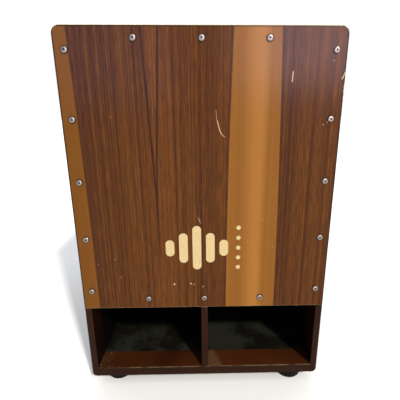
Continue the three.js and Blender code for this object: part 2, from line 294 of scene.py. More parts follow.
class Finish:
    """A material on a piece's own coordinates, in millimetres, built up node by node."""

    def __init__(self, name, roughness, **constants):
        self.material = bpy.data.materials.new(name)
        self.material.use_nodes = True
        self.tree = self.material.node_tree
        self.shader = self.tree.nodes["Principled BSDF"]
        self.shader.inputs["Roughness"].default_value = roughness
        for socket, value in constants.items():
            self.shader.inputs[socket.replace("_", " ")].default_value = value
        self.object = self.tree.nodes.new("ShaderNodeTexCoord").outputs["Object"]

    def node(self, kind, *inputs, **settings):
        made = self.tree.nodes.new(kind)
        for key, value in settings.items():
            setattr(made, key, value)
        for socket, value in zip(made.inputs, inputs):
            self.feed(socket, value)
        return made

    def feed(self, socket, value):
        if isinstance(value, bpy.types.NodeSocket):
            self.tree.links.new(value, socket)
        elif value is not None:
            socket.default_value = value

    def stretched(self, x, y, z):
        """Object coordinates divided by a grain size in millimetres along each axis."""
        scale = (1 / (x * MM), 1 / (y * MM), 1 / (z * MM))
        return self.node("ShaderNodeMapping", self.object, None, None, scale).outputs[0]

    def noise(self, vector, detail=2.0, roughness=0.5):
        made = self.node("ShaderNodeTexNoise", vector)
        made.inputs["Scale"].default_value = 1
        made.inputs["Detail"].default_value = detail
        made.inputs["Roughness"].default_value = roughness
        return made.outputs[0]

    def maths(self, operation, a, b=None, c=None):
        return self.node("ShaderNodeMath", a, b, c, operation=operation).outputs[0]

    def between(self, value, low, high, out_low=0.0, out_high=1.0):
        """Eases from out_low to out_high as value goes from low to high."""
        made = self.node("ShaderNodeMapRange", interpolation_type="SMOOTHSTEP")
        self.feed(made.inputs["Value"], value)
        for socket, number in zip(made.inputs[1:5], (low, high, out_low, out_high)):
            self.feed(socket, number)
        return made.outputs[0]

    def mixed(self, share, first, second, blend="MIX"):
        made = self.node("ShaderNodeMix", data_type="RGBA", blend_type=blend)
        self.feed(made.inputs[0], share)
        self.feed(made.inputs[6], first)
        self.feed(made.inputs[7], second)
        return made.outputs[2]

    def ramp(self, value, stops):
        made = self.node("ShaderNodeValToRGB", value)
        elements = made.color_ramp.elements
        while len(elements) < len(stops):
            elements.new(1)
        for element, (place, colour) in zip(elements, stops):
            element.position = place
            element.color = colour
        return made.outputs[0]

    def place(self):
        """The three object coordinates in millimetres."""
        scaled = self.stretched(1, 1, 1)
        return self.node("ShaderNodeSeparateXYZ", scaled).outputs

    def distance(self, aside, over):
        """How far a point is from another that is this far aside and this far over."""
        squares = self.maths("MULTIPLY_ADD", aside, aside, self.maths("MULTIPLY", over, over))
        return self.maths("SQRT", squares)

    def colour(self, value):
        self.feed(self.shader.inputs["Base Color"], value)

    def roughness(self, value):
        self.feed(self.shader.inputs["Roughness"], value)

    def bump(self, *layers):
        """Each layer is (height, distance in millimetres)."""
        normal = None
        for height, distance in layers:
            made = self.node("ShaderNodeBump")
            made.inputs["Distance"].default_value = distance * MM
            self.feed(made.inputs["Height"], height)
            self.feed(made.inputs["Normal"], normal)
            normal = made.outputs[0]
        self.feed(self.shader.inputs["Normal"], normal)


screw_nodes = sorted(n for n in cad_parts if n.startswith("plate_screw_"))


def middle_of(node):
    low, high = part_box(node)
    return (low + high) / 2


def screw_grid():
    """Where the plate's screws sit, in millimetres from its middle and its foot."""
    sides = [middle_of(n) for n in screw_nodes if "_right_" in n]
    across = [middle_of(n) for n in screw_nodes if "_top_" in n]
    heights = sorted((p.z - plate_low.z) / MM for p in sides)
    columns = sorted(p.x / MM for p in across)
    row_foot = (middle_of("plate_screw_bottom_2").z - plate_low.z) / MM
    row_top = (across[0].z - plate_low.z) / MM
    side_step = heights[1] - heights[0]
    return sides[0].x / MM, heights[0], side_step, columns[1] - columns[0], row_foot, row_top


# Scratches on the plate, in millimetres: strength, start as x and height above the plate's foot, drop,
# lean, hook and width.
SCRATCHES = (
    (1.0, (17.7, 267.5), 23.3, 6.0, 5.6, 0.75),
    (0.4, (16.6, 279.0), 13.0, 1.0, 0.0, 0.6),
    (1.0, (109.4, 324.0), 14.0, -0.8, 0.0, 0.8),
    (1.0, (173.2, 323.5), 10.0, -4.2, 0.0, 0.9),
    (0.5, (-7.5, 139.5), 10.0, 3.5, 0.0, 0.6),
)

# Nicks in the plate: x and height above the plate's foot, in millimetres, and size.
NICKS = (
    (-42.3, 37.8, 1.7),
    (-19.0, 38.5, 1.6),
    (-14.5, 37.4, 0.9),
    (-1.7, 33.5, 1.0),
    (-123.0, 77.5, 0.7),
    (-116.7, 50.2, 0.8),
    (-146.7, 70.2, 0.6),
    (-113.0, 270.2, 0.6),
    (-5.5, 134.0, 0.7),
    (95.0, 93.5, 0.6),
    (80.0, 133.5, 0.5),
    (150.8, 260.1, 0.8),
    (155.7, 262.6, 0.7),
    (157.6, 334.9, 0.8),
)


def walnut_veneer():
    """Straight-grained walnut with two strips of golden sapwood, under satin lacquer."""
    f = Finish("walnut_veneer", 0.5, Specular_IOR_Level=0.04, Coat_Weight=0.15, Coat_Roughness=0.21)
    x, _, world_z = f.place()
    height = f.maths("SUBTRACT", world_z, plate_low.z / MM)
    plate_height = (plate_high.z - plate_low.z) / MM
    up = f.maths("DIVIDE", height, plate_height)
    up_squared = f.maths("MULTIPLY", up, up)

    sway = f.noise(f.stretched(90, 90, 330), detail=1)
    across = f.maths("ADD", x, f.maths("MULTIPLY_ADD", sway, 5.0, -2.5))

    def grain(width, length, seed, detail=2.0, roughness=0.5):
        """Stripes of a given width that keep their course over a given length."""
        point = f.node("ShaderNodeCombineXYZ", f.maths("DIVIDE", across, width), seed)
        f.feed(point.inputs[2], f.maths("DIVIDE", height, length))
        return f.noise(point.outputs[0], detail, roughness)

    broad = grain(20, 1500, 3.1)
    middle = grain(4.6, 900, 17.7, detail=3, roughness=0.6)
    fine = grain(1.5, 420, 41.3, detail=2, roughness=0.6)
    hair = grain(1.1, 26, 77.9, detail=2, roughness=0.6)
    pores = f.between(grain(0.5, 9, 101.7, detail=1), 0.62, 0.72)

    stripes = f.maths("MULTIPLY_ADD", middle, 0.5, f.maths("MULTIPLY", broad, 0.16))
    stripes = f.maths("MULTIPLY_ADD", fine, 0.34, stripes)
    spread = f.between(x, 60, 105, 0.215, 0.165)
    heart = f.ramp(
        f.between(stripes, f.maths("SUBTRACT", 0.5, spread), f.maths("ADD", 0.5, spread)),
        [
            (0.0, HEART_DARK),
            (0.35, HEART_DULL),
            (0.65, HEART_BRIGHT),
            (1.0, HEART_LIGHT),
        ],
    )
    light_lines = f.between(grain(1.5, 1300, 131.9, detail=1), 0.66, 0.76)
    heart = f.mixed(f.maths("MULTIPLY", light_lines, 0.5), heart, HEART_LINE)
    dark_lines = f.between(grain(1.9, 1300, 151.3, detail=1), 0.34, 0.25)
    heart = f.mixed(f.maths("MULTIPLY", dark_lines, 0.35), heart, HEART_DARK)
    golden = f.maths("ABSOLUTE", f.maths("ADD", x, 54.0))
    heart = f.mixed(f.maths("MULTIPLY", f.between(golden, 26, 4), 0.22), heart, HEART_LINE)
    cool_side = f.between(x, 98, 116)
    heart = f.mixed(f.maths("MULTIPLY", cool_side, 0.15), heart, HEART_COOL)
    heart = f.mixed(f.maths("MULTIPLY", f.between(x, -132, -144), 0.4), heart, HEART_COOL)

    def dark_line(centre, width, strength):
        away = f.maths("ABSOLUTE", f.maths("SUBTRACT", x, centre))
        return f.maths("MULTIPLY", f.between(away, width, 0.0), strength)

    # Two dark growth lines lean together and go on down as one.
    meeting = -61.0
    above = f.maths("MAXIMUM", f.maths("SUBTRACT", height, 165.0), 0.0)
    lean_left = f.maths("MULTIPLY_ADD", above, -0.049, meeting)
    lean_right = f.maths("MULTIPLY_ADD", above, 0.049, meeting)
    below = f.between(height, 40, 160, 0.25, 1.0)
    lines = f.maths("MAXIMUM", dark_line(lean_left, 2.6, 1.0), dark_line(lean_right, 2.2, 1.0))
    lines = f.maths("MULTIPLY", lines, below)

    left_seam = f.maths("MULTIPLY_ADD", up_squared, -5.5, -151.0)
    band_left = f.maths("MULTIPLY_ADD", up_squared, 7.0, 31.0)
    band_right = f.maths("MULTIPLY_ADD", up_squared, -6.0, 100.0)
    for seam, side in ((left_seam, 2.2), (band_right, 2.0), (band_left, -1.8)):
        edge = f.maths("ADD", seam, side)
        lines = f.maths("MAXIMUM", lines, dark_line(edge, 2.6, 0.5))
    heart = f.mixed(lines, heart, GROWTH_LINE)

    tone = f.between(f.maths("MULTIPLY_ADD", broad, 0.6, f.maths("MULTIPLY", middle, 0.4)), 0.3, 0.7)
    strip = f.mixed(tone, STRIP_DULL, STRIP_BRIGHT)
    edge_of_streak = f.maths("MULTIPLY", f.between(across, 84.0, 74.0), f.between(across, 46.0, 70.0))
    plain_band = f.mixed(tone, BAND_DULL, BAND_BRIGHT)
    band = f.mixed(edge_of_streak, plain_band, f.mixed(tone, STREAK_DULL, STREAK_BRIGHT))
    in_strip = f.between(f.maths("SUBTRACT", left_seam, x), -0.5, 0.5)
    in_band = f.maths(
        "MULTIPLY",
        f.between(f.maths("SUBTRACT", x, band_left), -0.5, 0.5),
        f.between(f.maths("SUBTRACT", band_right, x), -0.5, 0.5),
    )
    fleck = f.between(hair, 0.34, 0.66, 0.74, 1.26)
    flecks = f.node("ShaderNodeCombineColor", fleck, fleck, fleck).outputs[0]
    heart = f.mixed(1.0, heart, flecks, "MULTIPLY")
    heart = f.mixed(f.maths("MULTIPLY", pores, 0.4), heart, PORE)
    wood = f.mixed(in_strip, heart, strip)
    wood = f.mixed(in_band, wood, band)
    wood = f.mixed(f.maths("MULTIPLY", pores, 0.12), wood, PORE)

    def off_grid(value, first, step):
        """How far a value is from the nearest of an even row of places."""
        return f.maths("PINGPONG", f.maths("SUBTRACT", value, first), step / 2)

    def ring(aside, over, share):
        """Painted shade round a screw head, as strong as the share says."""
        return f.maths("MULTIPLY", f.between(f.distance(aside, over), 5.6, 3.9), share)

    side_x, side_foot, side_step, row_step, row_foot, row_top = screw_grid()
    out = f.maths("ABSOLUTE", x)
    painted_shade_rings = ring(f.maths("SUBTRACT", out, side_x), off_grid(height, side_foot, side_step), 1.0)
    in_rows = f.between(out, side_x - 15, side_x - 25)
    for row in (row_foot, row_top):
        around = ring(off_grid(x, 0, row_step), f.maths("SUBTRACT", height, row), in_rows)
        painted_shade_rings = f.maths("MAXIMUM", painted_shade_rings, around)
    # Painted shade: the veneer is darkened in a ring round each screw head.
    wood = f.mixed(f.maths("MULTIPLY", painted_shade_rings, 0.8), wood, GROWTH_LINE)

    # The stain on the arrises runs a little way over the veneer, except along the foot.
    to_side = f.maths("SUBTRACT", half_width / MM, out)
    margin = f.maths("MINIMUM", to_side, f.maths("SUBTRACT", plate_height, height))
    wood = f.mixed(f.between(margin, 2.6, 1.5, 0, 0.8), wood, STAIN_DEEP)

    def scratch(start, drop, lean, hook, width):
        """A mark that falls from its start, leans and hooks away to the right."""
        along = f.maths("DIVIDE", f.maths("SUBTRACT", start[1], height), drop)
        bend = f.maths("MULTIPLY", f.maths("POWER", f.maths("MAXIMUM", along, 0.0), 7.0), hook)
        centre = f.maths("ADD", f.maths("MULTIPLY_ADD", along, lean, start[0]), bend)
        away = f.maths("ABSOLUTE", f.maths("SUBTRACT", x, centre))
        span = f.maths("MULTIPLY", f.between(along, 0.0, 0.15), f.between(along, 1.0, 0.93))
        return f.maths("MULTIPLY", f.between(away, width, 0.3 * width), span)

    marks = 0.0
    for strength, *course in SCRATCHES:
        marks = f.maths("MAXIMUM", marks, f.maths("MULTIPLY", scratch(*course), strength))
    for nick_x, nick_height, size in NICKS:
        aside = f.maths("SUBTRACT", x, nick_x)
        over = f.maths("SUBTRACT", height, nick_height)
        marks = f.maths("MAXIMUM", marks, f.between(f.distance(aside, over), size, 0.4 * size))
    wood = f.mixed(f.maths("MULTIPLY", marks, 0.9), wood, RAW_SCRATCH)

    f.colour(wood)
    smudge = f.noise(f.stretched(70, 70, 55), detail=4)
    f.roughness(f.between(smudge, 0.3, 0.7, 0.45, 0.58))
    f.bump((fine, 0.035), (pores, -0.05), (marks, -0.15))
    return f.material


def plywood_edge():
    """Thin cross-banded plies: pale ones either side of a darker core, with glue lines between."""
    f = Finish("plywood_edge", 0.6)
    y = f.place()[1]
    depth = f.maths("SUBTRACT", y, plate_low.y / MM)
    fleck = f.noise(f.stretched(1.5, 0.4, 1.5), detail=3)
    # The pale plies are the birch's own pale colour, painted lighter still as a painted highlight along the
    # top edge.
    pale = f.mixed(f.between(fleck, 0.3, 0.7), srgb(236, 212, 146), srgb(250, 234, 178))
    core = f.mixed(f.between(fleck, 0.3, 0.7), srgb(150, 108, 62), srgb(184, 140, 86))
    thickness = (plate_high.y - plate_low.y) / MM
    middle = f.maths("ABSOLUTE", f.maths("SUBTRACT", depth, thickness / 2))
    in_core = f.between(middle, 0.62, 0.52)
    wood = f.mixed(in_core, pale, core)
    glue = f.between(f.maths("ABSOLUTE", f.maths("SUBTRACT", middle, 0.58)), 0.09, 0.03)
    wood = f.mixed(f.maths("MULTIPLY", glue, 0.6), wood, srgb(96, 60, 32))
    skin = f.between(depth, 0.3, 0.2)
    wood = f.mixed(f.maths("MULTIPLY", skin, 0.7), wood, srgb(120, 76, 42))
    f.colour(wood)
    f.bump((fleck, 0.08))
    return f.material


def birch_back():
    f = Finish("birch_back", 0.62)
    grain = f.noise(f.stretched(2.5, 2.5, 90), detail=4, roughness=0.6)
    f.colour(f.mixed(f.between(grain, 0.3, 0.7), srgb(196, 158, 106), srgb(222, 190, 140)))
    f.bump((grain, 0.06))
    return f.material


def stained_fibreboard(name, lining=False, worn=0.0, deep=STAIN_DEEP, plain=STAIN, dust=True):
    """Dark red-brown stain and satin lacquer on fibreboard. A lining is stained only as far in as
    the spray reached, and is blacked beyond. On worn arrises the bare board shows through."""
    f = Finish(name, 0.42, Specular_IOR_Level=0.05, Coat_Weight=0.04, Coat_Roughness=0.22)
    fibre = f.noise(f.stretched(0.8, 0.8, 0.8), detail=5, roughness=0.7)
    cloud = f.noise(f.stretched(90, 90, 90), detail=3)
    rubbed = f.noise(f.stretched(9, 9, 9), detail=5, roughness=0.7)
    tone = f.maths("MULTIPLY_ADD", cloud, 0.55, f.maths("MULTIPLY", fibre, 0.45))
    stain = f.mixed(f.between(tone, 0.34, 0.66), deep, plain)
    stain = f.mixed(f.maths("MULTIPLY", f.between(rubbed, 0.66, 0.8), 0.4), stain, STAIN_RUBBED)
    if worn:
        wear = f.noise(f.stretched(16, 16, 16), detail=4, roughness=0.75)
        stain = f.mixed(f.maths("MULTIPLY", f.between(wear, 0.42, 0.58), worn), stain, BARE_FIBREBOARD)
    if lining:
        x, y, _ = f.place()
        spray = f.maths("MULTIPLY_ADD", f.noise(f.stretched(25, 25, 25), detail=2), 1.2, -0.6)
        depth = f.maths("ADD", f.maths("SUBTRACT", y, body_front / MM), spray)
        beyond = f.between(depth, STAIN_REACH / MM - 0.5, STAIN_REACH / MM + 0.5)
        # Painted shade: this darker blacking is kept where no dust is laid, on the port walls.
        blacked = f.mixed(cloud, BLACKED_IN_SHADE, STAIN_IN_SHADE)
        if dust:
            dust_and_painted_light = f.noise(f.stretched(38, 38, 38), detail=5, roughness=0.62)
            # Painted light: the floor is lighter in a strip beside the divider, laid over the dust.
            painted_light_by_divider = f.maths("MULTIPLY", f.between(x, 4, 8), f.between(x, 78, 48))
            dust_and_painted_light = f.maths("MULTIPLY_ADD", painted_light_by_divider, 0.12, dust_and_painted_light)
            blacked = f.mixed(f.between(dust_and_painted_light, 0.42, 0.66), BLACKED, BLACKED_DUSTY)
            crumbs = f.noise(f.stretched(2.4, 2.4, 2.4), detail=1)
            in_corner = f.maths("MULTIPLY", f.between(x, -130, -156), 0.17)
            crumbs = f.between(f.maths("ADD", crumbs, in_corner), 0.74, 0.82)
            # A pale patch on the floor by the divider's front foot, and pale crumbs in the left port's outer
            # corner.
            patch_edge = f.maths("MULTIPLY_ADD", depth, -0.4, 27.0)
            patch = f.between(f.maths("SUBTRACT", patch_edge, x), -4, 5)
            patch = f.maths("MULTIPLY", patch, f.between(x, 4, 5))
            patch = f.maths("MULTIPLY", patch, f.between(dust_and_painted_light, 0.35, 0.65, 0.02, 0.22))
            bare = f.maths("MAXIMUM", patch, f.maths("MULTIPLY", crumbs, 0.6))
            stain = f.mixed(bare, stain, BARE_FIBREBOARD)
        stain = f.mixed(beyond, stain, blacked)
        f.roughness(f.between(beyond, 0, 1, 0.45, 0.75))
    else:
        f.roughness(f.between(rubbed, 0.3, 0.7, 0.36, 0.5))
    f.colour(stain)
    f.bump((fibre, 0.05), (rubbed, 0.08))
    return f.material


def bare_wood(name, dark, light, along):
    """Planed wood with its grain along one axis, 0 for X, 1 for Y and 2 for Z."""
    f = Finish(name, 0.68)
    grain_size = [2.2, 2.2, 2.2]
    grain_size[along] = 110
    year = f.noise(f.stretched(*grain_size), detail=3, roughness=0.55)
    fibre_size = [0.5, 0.5, 0.5]
    fibre_size[along] = 16
    fibre = f.noise(f.stretched(*fibre_size), detail=2)
    tone = f.maths("MULTIPLY_ADD", year, 0.75, f.maths("MULTIPLY", fibre, 0.25))
    f.colour(f.mixed(f.between(tone, 0.35, 0.65), dark, light))
    f.bump((fibre, 0.05))
    return f.material


def plated_metal(name, tint, roughness):
    f = Finish(name, roughness, Metallic=1.0)
    brushed = f.noise(f.stretched(0.6, 0.6, 0.6), detail=4)
    tarnish = f.noise(f.stretched(2.4, 2.4, 2.4), detail=3)
    dull = tuple(0.55 * c for c in tint[:3]) + (1,)
    f.colour(f.mixed(f.maths("MULTIPLY", f.between(tarnish, 0.5, 0.75), 0.6), tint, dull))
    f.roughness(f.between(brushed, 0.3, 0.7, roughness * 0.8, roughness * 1.4))
    f.bump((brushed, 0.01))
    return f.material


def moulded_rubber():
    f = Finish("moulded_rubber", 0.75, Specular_IOR_Level=0.1)
    grit = f.noise(f.stretched(0.5, 0.5, 0.5), detail=4, roughness=0.7)
    dust = f.noise(f.stretched(9, 9, 5), detail=5)
    black = f.mixed(f.between(grit, 0.3, 0.7), srgb(4, 4, 4), srgb(10, 10, 10))
    f.colour(f.mixed(f.maths("MULTIPLY", f.between(dust, 0.55, 0.8), 0.2), black, srgb(50, 48, 46)))
    f.roughness(f.between(grit, 0.3, 0.7, 0.62, 0.85))
    f.bump((grit, 0.06))
    return f.material


def cream_print():
    """Screen-printed cream ink, a little thin over the pores."""
    f = Finish("cream_print", 0.5)
    ink = f.noise(f.stretched(0.7, 0.7, 4), detail=4, roughness=0.6)
    f.colour(f.mixed(f.between(ink, 0.25, 0.6), srgb(194, 168, 116), srgb(210, 184, 130)))
    f.bump((ink, 0.02))
    return f.material


def studio_floor():
    f = Finish("studio_floor", 0.85)
    speckle = f.noise(f.stretched(300, 300, 300), detail=3)
    f.colour(f.mixed(speckle, (0.92, 0.92, 0.92, 1), (0.95, 0.95, 0.95, 1)))
    return f.material


veneer = walnut_veneer()
ply_edge = plywood_edge()
plate_back = birch_back()
chipped_ply = bare_wood("chipped_ply", srgb(138, 84, 40), srgb(206, 158, 100), 2)
stained = stained_fibreboard("stained_fibreboard")
# Painted shade: the port walls, shelf and back get a darker stain and blacking than the port floor.
shaded_port_lining = stained_fibreboard("shaded_port_lining", lining=True, deep=STAIN_IN_SHADE, plain=STAIN_DEEP, dust=False)
# Painted light: the port floors get a lighter copy of the stain than the outside.
port_lining_floor = stained_fibreboard("port_floor_lining", lining=True, deep=STAIN, plain=PAINTED_LIT_FLOOR_STAIN)
worn_arris = stained_fibreboard("worn_arris", worn=0.5)
# Painted shade: a darker copy of the stain for arrises that look outwards or down, and the plate's sides.
painted_shade_arris = stained_fibreboard("painted_shade_arris", deep=STAIN_IN_SHADE, plain=srgb(16, 8, 4))
nickel = plated_metal("worn_nickel", (0.31, 0.28, 0.24, 1), 0.38)
# Painted shade: a near-black metal for the faces inside the cross recesses, where shade falls.
recess_shade_metal = plated_metal("painted_shade_recess", (0.10, 0.09, 0.08, 1), 0.6)
zinc = plated_metal("bright_zinc", (0.70, 0.72, 0.75, 1), 0.3)
spring_steel = plated_metal("spring_steel", (0.62, 0.62, 0.62, 1), 0.26)
rubber = moulded_rubber()
ink = cream_print()


# ----------------------------------------
# The box
# ----------------------------------------


BOARD_MATERIALS = (stained, shaded_port_lining, worn_arris, port_lining_floor, painted_shade_arris)
PLAIN, LINED_SHADED, WORN, LINED_FLOOR, SHADED_OUTER = range(len(BOARD_MATERIALS))


def lining_for(*directions):
    """Faces that look in these directions are lined. The slanting ones at the front are worn arrises
    if they look up, and get painted shade, a darker stain, if they look outwards or down."""

    def choose(face):
        normal = face.normal
        if any(normal.dot(Vector(d)) > 0.9 for d in directions):
            return LINED_FLOOR if normal.z > 0.9 else LINED_SHADED
        if face.center.y > body_front + OUTER_ARRIS or normal.y < -0.97:
            return PLAIN
        outward_x = normal.x * (1 if face.center.x > 0 else -1)
        beside_divider = abs(face.center.x) < inner_half / 2
        if normal.z < -0.2 or (outward_x > 0.2 and not beside_divider):
            return SHADED_OUTER
        return WORN if normal.z > 0.2 else PLAIN

    return choose


def board_finish(piece, node, choose):
    return finished(piece, BOARD_MATERIALS, [node], choose=choose)


def side_panel(node, side):
    """A side wall, with a rebate down its front that the plate lies in."""
    low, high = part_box(node)
    panel = block(node + "_board", low, high)
    outer = side * half_width
    inner = side * inner_half
    seat_corner = min(SEAT_CORNER, high.x - low.x - GLUE_LINE)
    bevel_edges(panel, seat_corner, 10, lambda p: near(p.x, outer) and near(p.z, high.z))
    bevel_edges(panel, BASE_CORNER, 8, lambda p: near(p.x, outer) and near(p.z, low.z))
    bevel_edges(panel, EASED, 3, lambda p: near(p.x, outer) and near(p.y, high.y))
    rebate_low = (low.x - MM, low.y - MM, plate_low.z - GLUE_LINE)
    cut_with(panel, block("rebate", rebate_low, (high.x + MM, rebate_back, high.z + MM)))
    bevel_edges(panel, EASED, 3, lambda p: near(p.y, low.y) and near(p.x, inner))
    below_plate = plate_low.z - MM

    def outer_front(edge):
        ends = edge_ends(panel, edge)
        if not all(near(p.y, low.y) for p in ends) or min(p.z for p in ends) > below_plate:
            return False
        return abs(sum(p.x for p in ends) / 2 - inner) > 2 * MM

    bevel_chosen(panel, OUTER_ARRIS, 5, outer_front)
    return board_finish(panel, node, lining_for((-side, 0, 0)))


def close_up(node, left_right=True, foot=False, top=False):
    """A node's box, grown by the glue line where it meets its neighbours."""
    low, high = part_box(node)
    if left_right:
        low.x, high.x = -inner_half, inner_half
    if foot:
        low.z -= GLUE_LINE
    if top:
        high.z += GLUE_LINE
    return low, high


def board(node, low, high, directions, eased):
    """A board between the sides, lined where it looks into the drum, with some edges eased."""
    panel = block(node + "_board", low, high)
    bevel_edges(panel, EASED, 3, eased)
    return board_finish(panel, node, lining_for(*directions))


def box_boards():
    side_panel("side_panel_left", -1)
    side_panel("side_panel_right", 1)

    low, high = close_up("seat_panel")
    top, back = high.z, high.y
    board("seat_panel", low, high, [(0, 0, -1)], lambda p: near(p.y, back) and near(p.z, top))

    low, high = close_up("base_panel")
    base = block("base_panel_board", low, high)
    bevel_edges(base, OUTER_ARRIS, 5, lambda p: near(p.y, low.y) and near(p.z, low.z))
    bevel_edges(base, EASED, 3, lambda p: near(p.y, low.y) and near(p.z, high.z))
    bevel_edges(base, EASED, 3, lambda p: near(p.y, high.y))
    board_finish(base, "base_panel", lining_for((0, 0, 1)))

    low, high = close_up("back_panel", foot=True, top=True)
    board("back_panel", low, high, [(0, -1, 0)], lambda p: False)

    low, high = close_up("port_shelf")
    rear = high.y
    board("port_shelf", low, high, [(0, 0, 1), (0, 0, -1), (0, 1, 0)], lambda p: near(p.y, rear))

    low, high = close_up("port_divider", left_right=False, foot=True, top=True)
    faces = (low.y, high.y)
    board("port_divider", low, high, [(1, 0, 0), (-1, 0, 0), (0, 1, 0)], lambda p: at_any(p.y, faces))


# ----------------------------------------
# The plate, its screws and its printed mark
# ----------------------------------------

SCREW_HEAD = 2.3 * MM
SCREW_SHANK = 1.75 * MM
DRILL_CLEARANCE = 0.15 * MM

PLATE_MATERIALS = (veneer, ply_edge, plate_back, painted_shade_arris, chipped_ply)
FRONT, EDGE, BACK, SHADED_SIDE, CHIPPED = range(len(PLATE_MATERIALS))

# Chips in the plate's right arris: height of the middle above the plate's foot, length and depth.
CHIPS = (
    (332.1, 3.0, 0.9),
    (322.0, 2.5, 1.1),
    (306.5, 6.0, 1.3),
    (300.0, 3.5, 1.9),
    (292.6, 3.0, 1.5),
    (285.5, 2.5, 1.0),
)


def front_plate():
    plate = block("veneered_plate", plate_low, plate_high)
    for side in (-half_width, half_width):
        bevel_edges(plate, SEAT_CORNER, 12, lambda p: near(p.x, side) and near(p.z, plate_high.z))
        bevel_edges(plate, PLATE_FOOT_CORNER, 4, lambda p: near(p.x, side) and near(p.z, plate_low.z))
    bevel_edges(plate, PLATE_EASED, 3, lambda p: near(p.y, plate_low.y))
    drills = []
    for node in screw_nodes:
        middle = middle_of(node)
        deselect_all()
        bpy.ops.mesh.primitive_cylinder_add(
            vertices=20,
            radius=SCREW_SHANK + DRILL_CLEARANCE,
            depth=12 * MM,
            location=(middle.x, plate_low.y, middle.z),
            rotation=(math.pi / 2, 0, 0),
        )
        drills.append(settle(named("drill")))
    cut_with(plate, joined("drills", drills))

    for height, length, bite in CHIPS:
        deselect_all()
        spot = (half_width, plate_low.y, plate_low.z + height * MM)
        bpy.ops.mesh.primitive_ico_sphere_add(subdivisions=2, radius=MM, location=spot)
        chip = named("chip")
        chip.scale = (bite, 1.1, length / 2)
        chip.rotation_euler = (0, math.radians(9), 0)
        cut_with(plate, settle(chip))

    def chipped(face):
        if face.center.x < half_width - 4 * MM or near(face.center.x, half_width):
            return False
        above = (face.center.z - plate_low.z) / MM
        return any(abs(above - height) < length / 2 + 0.5 for height, length, _ in CHIPS)

    def side_of_plate(face):
        normal = face.normal
        if chipped(face) and -0.999 < normal.y < 0.9 and face.center.y < plate_low.y + 1.5 * MM:
            return CHIPPED
        if normal.y < -0.92:
            return FRONT
        if normal.y > 0.9:
            return BACK
        # The plate's left and right sides get the painted-shade arris colour.
        return SHADED_SIDE if abs(normal.x) > 0.75 * math.hypot(normal.x, normal.z) else EDGE

    return finished(plate, PLATE_MATERIALS, ["front_plate"], choose=side_of_plate)


def cross_recess(radius, head):
    """A tapered cross with a wider middle, which is cut out of a screw head."""
    wings = ((0, 1.25, 0.34), (math.pi / 2, 1.25, 0.34), (math.pi / 4, 0.68, 0.68))
    arms = []
    for turn, length, width in wings:
        deselect_all()
        bpy.ops.mesh.primitive_cube_add(size=1, location=(0, 0, 0))
        arm = named("recess_arm")
        arm.scale = (radius * length, radius * width, head * 1.3)
        settle(arm)
        pick(arm, "FACE", lambda face: face.normal.z < -0.9)
        bpy.ops.transform.resize(value=(0.55, 0.6, 1))
        bpy.ops.object.mode_set(mode="OBJECT")
        arms.append(moved(arm, (0, 0, head), (0, 0, turn)))
    recess, *others = arms
    for arm in others:
        cut_with(recess, arm, "UNION")
    return recess


def pan_screw(name, radius, head, shank, length, threads):
    """A cross-recessed pan-head screw, head up, seated on z = 0."""
    outline = [(0, -length), (shank * 0.35, -length + shank * 0.9)]
    pitch = (length - shank * 1.5 - 2 * MM) / threads
    foot = -length + shank * 1.5
    for k in range(threads):
        outline.append((shank * 0.72, foot + k * pitch))
        outline.append((shank, foot + (k + 0.5) * pitch))
    outline += [(shank * 0.8, -2 * MM), (shank * 0.8, 0), (radius - 0.2 * MM, 0), (radius, 0.2 * MM)]
    dome = ((1, 0.4), (0.97, 0.58), (0.9, 0.75), (0.79, 0.88), (0.62, 0.95), (0.4, 0.985), (0, 1))
    outline += [(radius * out, head * up) for out, up in dome]
    screw = turned(name, outline, 28)
    return cut_with(screw, cross_recess(radius, head))


def recess_faces(pattern, radius, head):
    """The faces of the cross recess in a screw pattern, by their numbers."""

    def sunk(face):
        aside = math.hypot(face.center.x, face.center.y)
        steep = face.normal.z < 0.45
        deep = face.center.z < 0.75 * head
        return face.center.z > 0.2 * head and aside < 0.66 * radius and (steep or deep)

    return {face.index for face in pattern.data.polygons if sunk(face)}


def plate_screws():
    low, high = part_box(screw_nodes[0])
    radius = (high.x - low.x) / 2
    length = high.y - plate_low.y
    pattern = pan_screw("screw_pattern", radius, SCREW_HEAD, SCREW_SHANK, length, 9)
    sunk = recess_faces(pattern, radius, SCREW_HEAD)
    for index, node in enumerate(screw_nodes):
        middle = middle_of(node)
        screw = copy_of(pattern, node + "_nickel")
        stopped_at = math.radians(137.5 * index)  # each was driven home at its own angle
        moved(screw, (0, 0, 0), (0, 0, stopped_at))
        moved(screw, (middle.x, plate_low.y, middle.z), (math.pi / 2, 0, 0))
        # The faces inside the cross recess get the painted-shade metal.
        metals = [nickel, recess_shade_metal]
        finished(screw, metals, [node], crease=40, choose=lambda face: face.index in sunk)
    bpy.data.objects.remove(pattern)


MARK_CENTRE_X = -9.5 * MM
MARK_FOOT = 61 * MM  # above the plate's foot
MARK_BAR = 12 * MM
MARK_STEP = 18.5 * MM
MARK_HEIGHTS = (24 * MM, 44 * MM, 65 * MM, 44 * MM, 24 * MM)
MARK_INK = 0.12 * MM
DOT_COLUMN_X = 47.5 * MM
DOT_SIZE = 6 * MM


def printed_pill(name, x, z, width, height):
    """A round-ended bar of ink on the plate."""
    low = (x - width / 2, plate_low.y - MARK_INK, z - height / 2)
    high = (x + width / 2, plate_low.y - 0.01 * MM, z + height / 2)
    pill = block(name, low, high)
    corner = width / 2 - 0.05 * MM

    def runs_inward(edge):
        first, second = edge_ends(pill, edge)
        return near(first.x, second.x) and near(first.z, second.z)

    return bevel_chosen(pill, corner, 12, runs_inward)


